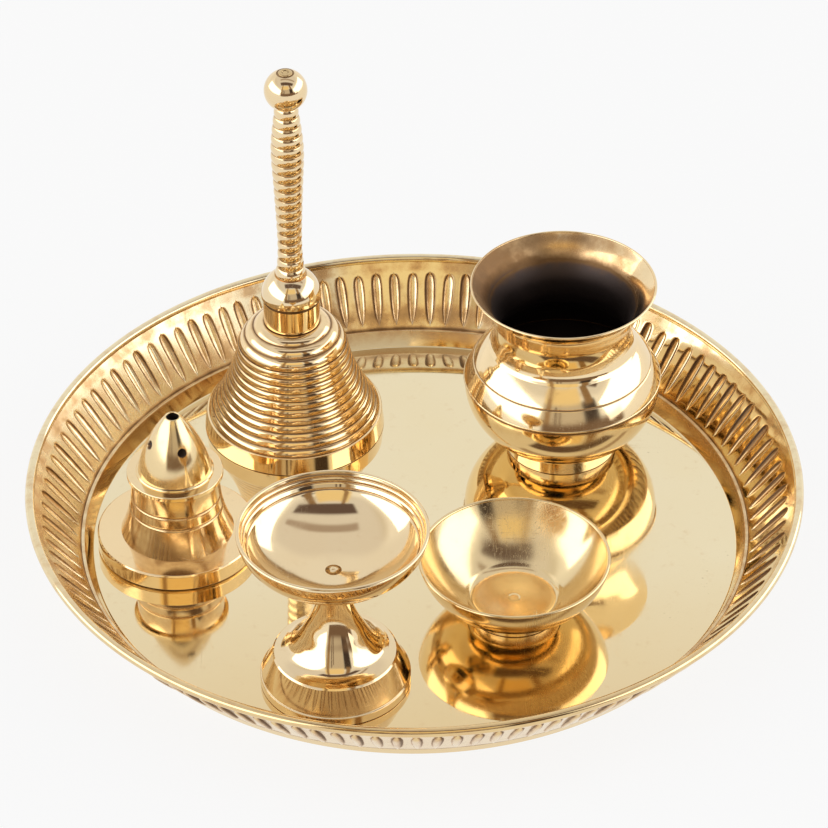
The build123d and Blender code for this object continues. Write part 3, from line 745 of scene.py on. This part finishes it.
# %% [markdown]
# ## The water pot
# The kalash is brazed from two halves on a foot ring. The upper half stands a hair proud of the lower
# one, so the seam shows as a bright line over a dark one, and painted shade under the seam deepens the
# dark one. A line in the finish could stand for it, but two meshes with a real edge between them catch
# the light as the pot does.

# %% Foot and lower half
SEAM_Z = 27.7

foot = softened([(16.7, 5.2), (16.7, 0), (18.3, 0), (17.9, 5.2), (16.7, 5.2)], 0.3, 0.1)
piece("kalash_foot_ring", with_contact_shadow(turned(foot)), "kalash_foot", "kalash", turned_brass)
belly = bow((18.0, 5.2), (32.1, SEAM_Z), 4.3, 60)
# painted shade: dark just under the seam; the inside below is painted black with shade
belly[:, 2] = np.interp(belly[:, 1], [0, 20, 26.6, 27.4], [0, 0, 0.16, 1.0])
base = [line((0, 5.2), (18.0, 5.2), 0.3), belly, line((32.1, SEAM_Z), (30.9, SEAM_Z), 0.6),
        bow((30.9, SEAM_Z), (18.0, 6.4), -4.0, 30, 2.0), line((18.0, 6.4), (0, 6.4), 2.0)]
piece("kalash_lower_half", turned(base), "kalash_base", "kalash", turned_brass)

# %% [markdown]
# The turner has cut a faint line on the shoulder. It is a narrow dip in the outline, darkened by patina.
# The inside of the neck is painted almost black with shade, and its mouth brown with tarnish and painted
# shade, most on the left, and nearly clean on the right.

# %% Upper half
LINE_Z, LINE_W, LINE_DEPTH = 34.6, 0.16, 0.22
MOUTH_Z, MOUTH_SHADE, SHADE_SIDE = 57, 0.40, 2.9  # the side is an angle, 0 on the right and pi on the left

shoulder = bow((32.3, 28.5), (23.5, 41.4), 0.9, 120)[:-8]
throat = through([shoulder[-1, :2], (23.35, 42.0), (22.65, 44.2), (22.3, 47.0), (22.9, 51.2), (24.5, 55.4),
                  (27.0, 60.2), (30.4, 64.1)], 12)
outer = np.vstack([shoulder, throat[1:]])
cut_at = np.exp(-((outer[:, 1] - LINE_Z) / LINE_W) ** 2)
outer[:, 0] -= LINE_DEPTH * cut_at
outer[:, 2] = 0.75 * cut_at
inner = through([(29.6, 64.25), (26.1, 60.6), (23.4, 55.8), (21.7, 51.4), (21.1, 47.0), (21.3, 44.3),
                 (22.3, 41.4)], 12)
# painted shade: black deep in the neck, fading to tarnish at the mouth
inner[:, 2] = np.interp(inner[:, 1], [44, 52, 56.0, 57.6, 59.5, 64], [2.0, 1.8, 1.4, 0.75, 0.42, 0.34])


def lip(a, b):
    """Half-round edge from one side of a sheet to the other."""
    return bow(a, b, np.hypot(b[0] - a[0], b[1] - a[1]) / 2 * 0.98, 12)


neck = [bow((32.2, SEAM_Z), (32.3, 28.5), 0.3, 10), outer, lip((30.4, 64.1), (29.6, 64.25)), inner,
        bow((22.3, 41.4), (31.2, SEAM_Z), -0.9, 24, 2.0), line((31.2, SEAM_Z), (32.2, SEAM_Z), 0.5)]
upper = turned(neck, FINE)
spot = upper[0]
mouth = (spot[:, 2] > MOUTH_Z) & ((spot[:, :2] * upper[1][:, :2]).sum(1) < 0)
around = np.arctan2(spot[:, 1], spot[:, 0])
# painted shade on the mouth, most on the left
upper[2] += mouth * (MOUTH_SHADE * np.cos(around - SHADE_SIDE) - 0.12 * np.cos(3 * (around - 1.7)) + 0.04)
piece("kalash_upper_half", upper, "kalash_neck", "kalash", turned_brass)

# %% [markdown]
# ## The bowl
# A plain bowl on a low foot. Inside, the turner has left a round flat floor with a small centre mark.
# It could be an arc from rim to floor, but its nearly straight wall is what gives it its broad bright bands.

# %% Bowl
bowl_runs = softened([(0, 3.0), (12.9, 3.0), (12.9, 0), (14.5, 0), (14.5, 4.3), (15.15, 4.3)], 0.35, 0.15)
well = bow((29.2, 20.85), (15.6, 6.2), -1.2, 40)
floor_edge = through([well[-1, :2], (14.2, 5.2), (12.6, 4.75), (8.0, 4.6), (2.6, 4.6)], 8)
well = np.vstack([well, floor_edge[1:]])
bowl_runs += [bow((15.15, 4.3), (30.5, 20.85), 3.1, 40), lip((30.5, 20.85), (29.2, 20.85)), well]
bowl_runs += softened([(2.6, 4.6), (2.0, 4.6), (1.5, 4.5), (0, 4.48)], 0.4)
piece("bowl_turned", with_contact_shadow(turned(bowl_runs, FINE)), "bowl", "bowl", satin_brass)

# %% [markdown]
# ## The lamp
# The diya's dish has fine steps just inside its rim. They could be bump, but a step this bright needs a
# real slope, so they are dips in the outline, like the line on the pot.

# %% Lamp dish
SEAT_Z, RIVET_BORE = 41.6, 1.35
RIM_STEPS = ((0.26, 57.5), (0.24, 56.0), (0.18, 54.2))  # depth and height of each

dish = [line((RIVET_BORE, SEAT_Z), (5.8, SEAT_Z)), bow((5.8, SEAT_Z), (21.5, 47.2), 0.45),
        bow((21.5, 47.2), (29.7, 58.65), 1.75, 40), lip((29.7, 58.65), (28.4, 58.65))]
well = through([(28.4, 58.65), (26.5, 54.6), (23.5, 51.0), (19.5, 48.0), (14.5, 45.5), (9.0, 43.9),
                (RIVET_BORE, 43.05)], 40)
for depth, at in RIM_STEPS:
    well[:, 0] += depth * np.exp(-((well[:, 1] - at) / 0.28) ** 2)
    well[:, 2] += 0.45 * np.exp(-((well[:, 1] - at) / 0.25) ** 2)
dish += [well, line((RIVET_BORE, 43.05), (RIVET_BORE, SEAT_Z), 1.0)]
piece("diya_dish_turned", turned(dish, FINE), "diya_dish", "diya", bright_brass)

# %% [markdown]
# The dish is riveted to a spreading foot, hollow underneath, which rises from a stepped edge into a slender
# stem. Arcs would show where they meet on it, so the stem is one smooth curve.

# %% Lamp foot
stem = softened([(21.9, 0), (23.5, 0), (23.5, 2.9), (23.0, 3.2), (22.8, 3.6), (19.5, 10.9),
                 (19.0, 11.4)], 0.35, 0.07)
stem += [through([(19.0, 11.4), (16.6, 12.0), (14.2, 13.4), (11.6, 16.9), (9.4, 21.0), (7.5, 24.9),
                  (6.0, 29.2), (5.2, 34.0), (5.25, 38.0), (5.8, SEAT_Z)], 10)]
stem += softened([(5.8, SEAT_Z), (RIVET_BORE, SEAT_Z), (RIVET_BORE, 27.6), (4.0, 27.6), (13.2, 11.2),
                  (17.7, 9.7), (21.9, 0)], 0.3, 0.45)
piece("diya_foot_turned", with_contact_shadow(turned(stem, FINE)), "diya_foot", "diya", bright_brass)

# %% [markdown]
# The rivet's head in the middle of the dish is hammered, not turned. So it is swept like the rest, and
# then its top is drawn in by an uneven amount round the axis.

# %% Rivet
HEAD_Z, HEAD_SHARE, UNEVEN = 43.2, 0.6, 0.16

rivet = [(0, 26.6), (2.5, 26.6), (2.7, 27.6), (1.3, 27.6), (1.3, 43.0), (2.7, 43.0), (2.3, 43.6),
         (1.3, 43.9), (0.6, 43.8), (0, 43.85)]
rivet = turned(softened(rivet, 0.2, 0.1), TINY)
around = np.arctan2(rivet[0][:, 1], rivet[0][:, 0])
hammered = HEAD_SHARE * (1 + UNEVEN * np.sin(3 * around + 0.7))
rivet[0][:, :2] *= np.where(rivet[0][:, 2] > HEAD_Z, hammered, 1.0)[:, None]
piece("diya_rivet_hammered", rivet, "diya_rivet", "diya", bright_brass)

# %% [markdown]
# ## The incense stand
# A screw from below holds a saucer, a waisted pillar and a pointed top together. Two soft grooves run
# round the pillar, dips in its outline again, and it is a little dull all over.

# %% Saucer and pillar
SCREW_BORE, SAUCER_H, CONE_Z = 2.05, 6.2, 29.7
GROOVES, GROOVE_W, GROOVE_DEPTH = (16.2, 20.4), 0.3, 0.32

saucer = softened([(3.65, 0), (25.1, 0), (25.9, 0.8), (25.9, 5.7), (25.4, SAUCER_H), (SCREW_BORE, SAUCER_H),
                   (SCREW_BORE, 2.8), (3.65, 2.8), (3.65, 0)], 0.3)
piece("incense_saucer_turned", with_contact_shadow(turned(saucer, FINE)), "incense_saucer", "incense_stand", bell_brass)
pillar = bow((18.2, SAUCER_H), (14.4, 27.8), -1.3, 120, 0.22)
for at in GROOVES:
    groove = np.exp(-((pillar[:, 1] - at) / GROOVE_W) ** 2)
    pillar[:, 0] -= GROOVE_DEPTH * groove
    pillar[:, 2] += 0.25 * groove
pillar = [pillar] + softened([(14.4, 27.8), (15.5, 27.9), (15.5, CONE_Z), (SCREW_BORE, CONE_Z),
                              (SCREW_BORE, SAUCER_H), (18.2, SAUCER_H)], 0.4)
piece("incense_pillar_turned", turned(pillar), "incense_body", "incense_stand", turned_brass)

# %% [markdown]
# The top is drilled: one upright hole at its tip and smaller slanted ones round its side. A Boolean would
# cut them, but it would break the swept quads and their normals. So the side holes are pushed into the
# mesh, every vertex inside the drill's circle, and the metal in them is painted black with shade, as is
# the deep part of the hole at the tip.

# %% Pointed top
CONE_TOP, TIP_R, TIP_FLOOR = 51.0, 2.0, 38.0
CONE_SEGMENTS = 288  # fine enough for the edges of the holes
HOLES, HOLE_R, HOLE_DEPTH, HOLE_SLANT = 4, 1.45, 3.6, 0.42
HOLE_AT, FIRST_HOLE = (8.18, 41.8), -68  # radius and height, and degrees round the axis
HOLE_REACH, HOLE_STEEP = 1.6, 12

cone = softened([(0, 35.7), (SCREW_BORE, 35.7), (SCREW_BORE, CONE_Z), (12.7, CONE_Z), (12.3, 30.2),
                 (11.9, 30.5)], 0.2)
# the hole at the tip: its wall painted dark and its floor black with shade
cone += [bow((11.9, 30.5), (2.6, CONE_TOP - 0.25), 1.3, 120),
         bow((2.6, CONE_TOP - 0.25), (TIP_R, CONE_TOP - 0.3), 0.25, 8),
         line((TIP_R, CONE_TOP - 0.3), (TIP_R, TIP_FLOOR), 1.6),
         line((TIP_R, TIP_FLOOR), (0, TIP_FLOOR), 2.0)]
pointed = turned(cone, CONE_SEGMENTS)
for i in range(HOLES):
    turn = math.radians(360 / HOLES * i + FIRST_HOLE)
    level = np.array([math.cos(turn), math.sin(turn), 0.0])
    drill = level * math.cos(HOLE_SLANT) + (0, 0, math.sin(HOLE_SLANT))
    reach = pointed[0] - (level * HOLE_AT[0] + (0, 0, HOLE_AT[1]))
    depth = reach @ drill
    off = np.linalg.norm(reach - depth[:, None] * drill, axis=1)
    hit = (off < HOLE_R) & (np.abs(depth) < HOLE_REACH)
    pointed[0][hit] -= drill * np.minimum(HOLE_DEPTH, HOLE_STEEP * (HOLE_R - off[hit]))[:, None]
    # painted shade: the inside of the hole black
    pointed[2][hit] = 2.0
piece("incense_cone_drilled", pointed, "incense_cone", "incense_stand", satin_brass)

# %% [markdown]
# The screw's head sits in a recess under the saucer, and its shaft ends inside the top. A thread could be
# swept along a helix, but nobody would ever see it, so the shaft is plain.

# %% Screw
screw = softened([(0, 0.6), (3.6, 0.6), (3.6, 2.8), (2.0, 2.8), (2.0, 35.0), (0, 35.1)], 0.25, 0.3)
piece("incense_screw_turned", turned(screw, TINY), "incense_screw", "incense_stand", fitting_brass)

# %% [markdown]
# ## Light, floor and camera
# Brass shows the room, so the room matters more than the lamps. Here it is a white studio with two wide
# windows, at the front left and the right. In front hangs a grey panel with dark joints, with a post and
# a dark screen beside it. The table's edge and two beams overhead are dark too, and the upper wall is a
# shade darker than the rest. These give round metal its upright streaks and the dark band low on each
# belly. Real boards could stand there, but they would get in the way of other views, so they are patches
# of colour in the world.


# %% Studio
def within(tree, value, low, high, soft):
    """One between two limits, fading out over a soft edge."""
    rise = ramp(tree, value, low - soft, low + soft, kind="SMOOTHSTEP")
    fall = ramp(tree, value, high - soft, high + soft, 1.0, 0.0, kind="SMOOTHSTEP")
    return math_node(tree, "MULTIPLY", rise, fall)


world = bpy.data.worlds.new("studio")
bpy.context.scene.world = world
world.use_nodes = True
tree = world.node_tree
for old in list(tree.nodes):
    tree.nodes.remove(old)
way = node(tree, "SeparateXYZ", {0: node(tree, "TexCoord").outputs["Generated"]}).outputs
front = math_node(tree, "MULTIPLY", way[1], -1.0)
bearing = math_node(tree, "ARCTAN2", way[0], front)
rise = math_node(tree, "ARCSINE", way[2])
height = math_node(tree, "MAXIMUM", way[2], 0.05)
ahead = math_node(tree, "DIVIDE", front, height)
aside = math_node(tree, "DIVIDE", way[0], height)
print("studio: directions by bearing and rise, the ceiling by aside and ahead")

# %% [markdown]
# Each patch of the studio lies between limits in two directions, with a soft edge, and has a colour.
# Walls are measured by bearing and rise, in radians. Bearings jump straight behind the tray, so the back
# wall is measured by the direction's own Y. The ceiling is a flat sheet, so that its beams stay straight.

# %% Patches of the studio
WHITE = (1, 1, 1, 1)
PATCHES = [
    ("back wall", way[1], (0.45, 1.2), rise, (0.2, 1.1), 0.15, (0.90, 0.90, 0.90)),
    ("upper wall", bearing, (-2.2, 2.2), rise, (0.72, 1.2), 0.1, (0.74, 0.70, 0.64)),
    ("ceiling", aside, (-0.9, 1.1), ahead, (-0.8, 0.9), 0.2, (0.80, 0.79, 0.80)),
    ("panel", bearing, (-0.45, 0.42), rise, (0.17, 0.62), 0.03, (0.62, 0.55, 0.46)),
    ("warm shade", bearing, (-0.45, 0.42), rise, (0.60, 0.92), 0.05, (0.95, 0.76, 0.42)),
    ("joint", bearing, (-0.18, -0.14), rise, (0.2, 0.56), 0.012, (0.12, 0.08, 0.06)),
    ("second joint", bearing, (-0.09, -0.055), rise, (0.2, 0.5), 0.012, (0.18, 0.13, 0.10)),
    ("screen", bearing, (0.42, 0.74), rise, (0.0, 0.62), 0.04, (0.06, 0.045, 0.04)),
    ("screen top", bearing, (0.50, 0.70), rise, (0.55, 1.15), 0.03, (0.30, 0.19, 0.10)),
    ("post", bearing, (-0.38, -0.27), rise, (-0.1, 1.15), 0.03, (0.36, 0.23, 0.12)),
    ("table edge", bearing, (-0.42, 1.2), rise, (-0.4, 0.22), 0.06, (0.20, 0.13, 0.09)),
    ("beam", aside, (-0.45, 0.85), ahead, (0.28, 0.64), 0.05, (0.14, 0.10, 0.09)),
    ("second beam", aside, (-0.4, 0.9), ahead, (-0.10, 0.06), 0.04, (0.45, 0.38, 0.34)),
]
seen = WHITE
for label, one, limits, other, more, soft, colour in PATCHES:
    mask = math_node(tree, "MULTIPLY", within(tree, one, *limits, soft), within(tree, other, *more, soft))
    seen = blend(tree, seen, (*colour, 1), mask)
    seen.node.label = label
print("studio patches:", ", ".join(patch[0] for patch in PATCHES))

# %% [markdown]
# Only metal sees the patches, by Light Path's Is Glossy Ray. The camera sees plain white behind the tray,
# and everything else gets a soft even fill.

# %% What each ray sees
FILL = 0.5

rays = node(tree, "LightPath").outputs
shine = node(tree, "Background", {"Color": seen, "Strength": 1.0}).outputs[0]
white = node(tree, "Background", {"Color": WHITE, "Strength": 1.0}).outputs[0]
fill = node(tree, "Background", {"Color": WHITE, "Strength": FILL}).outputs[0]
kind = node(tree, "MixShader", {0: rays["Is Glossy Ray"], 1: fill, 2: shine}).outputs[0]
final = node(tree, "MixShader", {0: rays["Is Camera Ray"], 1: kind, 2: white}).outputs[0]
node(tree, "OutputWorld", {0: final})
print("world:", world.name, "with", len(tree.nodes), "nodes")

# %% [markdown]
# The windows are area lights, wide and soft. They light the paper and lie as bright bands on the brass,
# where a point light or a sun would leave hard sparks.


# %% Windows
def window(name, bearing, rise, away, size, radiance):
    """Soft window that looks at the tray; its watts follow from how bright it looks."""
    lamp = bpy.data.lights.new(name, "AREA")
    lamp.shape = "RECTANGLE"
    lamp.size, lamp.size_y = size
    lamp.energy = radiance * math.pi * size[0] * size[1]
    made = bpy.data.objects.new(name, lamp)
    bpy.context.scene.collection.objects.link(made)
    bearing = math.radians(bearing)
    rise = math.radians(rise)
    level = away * math.cos(rise)
    made.location = (level * math.sin(bearing), -level * math.cos(bearing), away * math.sin(rise))
    made.rotation_euler = (-made.location).to_track_quat("-Z", "Y").to_euler()
    print(f"{name}: {lamp.energy:.1f} W")


window("window_left", bearing=-70, rise=23, away=2.2, size=(3.6, 1.2), radiance=1.5)
window("window_right", bearing=92, rise=23, away=2.2, size=(3.6, 1.2), radiance=1.4)

# %% [markdown]
# The floor is a sheet of white paper. For the camera and for metal most of its look is a white glow, so
# that it runs into the white behind it, and the rest is plain paper, which keeps the tray's shadow.
# From below it is clear, so that the tray's underside can be looked at.

# %% Floor
PAPER_HALF, PAPER_Z, GLOW = 6, -0.0001, 0.85

floor_mesh = bpy.data.meshes.new("floor")
corners = [(x * PAPER_HALF, y * PAPER_HALF, PAPER_Z) for x, y in ((-1, -1), (1, -1), (1, 1), (-1, 1))]
floor_mesh.from_pydata(corners, [], [(0, 1, 2, 3)])
floor = bpy.data.objects.new("floor", floor_mesh)
bpy.context.scene.collection.objects.link(floor)
paper = bpy.data.materials.new("white_paper")
paper.use_nodes = True
tree = paper.node_tree
shader = tree.nodes["Principled BSDF"]
shader.inputs["Base Color"].default_value = (0.93, 0.93, 0.93, 1)
shader.inputs["Roughness"].default_value = 0.9
rays = node(tree, "LightPath").outputs
direct = math_node(tree, "MAXIMUM", rays["Is Camera Ray"], rays["Is Glossy Ray"])
glow = node(tree, "Emission", {"Color": WHITE, "Strength": 1.0}).outputs[0]
sheet = node(tree, "MixShader", {0: math_node(tree, "MULTIPLY", direct, GLOW), 1: shader.outputs[0], 2: glow})
below = node(tree, "NewGeometry").outputs["Backfacing"]
clear = node(tree, "BsdfTransparent").outputs[0]
one_way = node(tree, "MixShader", {0: below, 1: sheet.outputs[0], 2: clear})
tree.links.new(one_way.outputs[0], tree.nodes["Material Output"].inputs["Surface"])
floor_mesh.materials.append(paper)
print("floor in place")

# %% [markdown]
# The photograph was taken from about 37 degrees above the table and some way off, so the lens is long.
# A slight roll matches the way the camera was held.

# %% Camera
ELEVATION, ROLL = math.radians(37.13), math.radians(-0.44)
DISTANCE, TARGET = 1.431, (0.00005, 0.0, 0.05113)
FOCAL_PIXELS, IMAGE_PIXELS = 4500, 828

camera = bpy.data.objects.new("camera", bpy.data.cameras.new("camera"))
bpy.context.scene.collection.objects.link(camera)
camera.data.sensor_width = 36.0
camera.data.lens = 36.0 * FOCAL_PIXELS / IMAGE_PIXELS
camera.data.clip_end = 30.0
back_off = DISTANCE * math.cos(ELEVATION)
camera.location = (TARGET[0], TARGET[1] - back_off, TARGET[2] + DISTANCE * math.sin(ELEVATION))
camera.rotation_euler = (math.pi / 2 - ELEVATION, 0.0, 0.0)
camera.rotation_euler.rotate_axis("Z", ROLL)
bpy.context.scene.camera = camera
bpy.context.scene.view_settings.view_transform = "Standard"
print("lens", round(camera.data.lens, 1), "mm")
